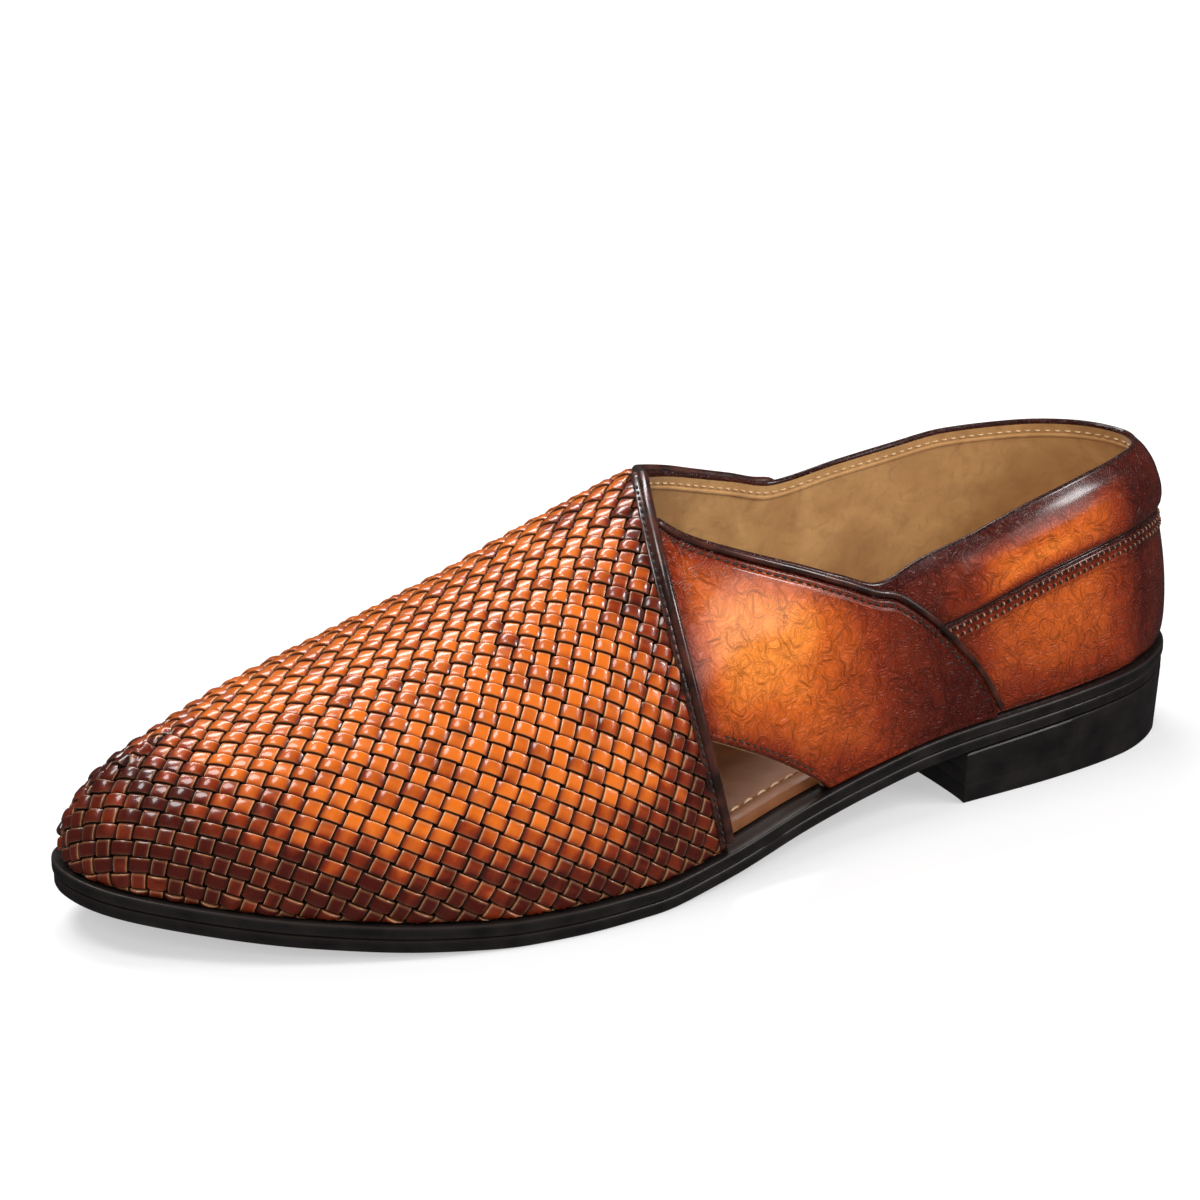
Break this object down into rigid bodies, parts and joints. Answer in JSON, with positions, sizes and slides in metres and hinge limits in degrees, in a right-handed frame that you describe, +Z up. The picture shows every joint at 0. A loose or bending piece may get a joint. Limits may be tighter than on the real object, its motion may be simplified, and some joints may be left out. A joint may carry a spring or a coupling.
{
  "type": "peshawari chappal",
  "caption": "Left leather shoe with a woven front, a crossing side strap, an open side cut-out, a padded collar and a low heel.",
  "frame": {"origin": "middle of the footprint, on the floor the shoe stands on", "axes": "+Z up, -X towards the toe, +X towards the heel, -Y towards the outer side of the foot"},
  "size_m": [0.3019, 0.1053, 0.0888],
  "materials": {
    "cognac_leather": "burnished, semi-gloss",
    "woven_leather": "woven strips, burnished, semi-gloss",
    "dark_leather": "satin",
    "black_sole_leather": "satin edge dressing",
    "tan_insole_leather": "matt"
  },
  "bodies": {
    "root": {"outsole": "black_sole_leather", "welt": "black_sole_leather", "heel": "black_sole_leather", "insole": "tan_insole_leather", "upper": "cognac_leather", "outer_strap": "cognac_leather", "woven_vamp": "woven_leather", "vamp_binding": "dark_leather", "wing_binding": "dark_leather", "strap_cord": "dark_leather"}
  },
  "joints": []
}
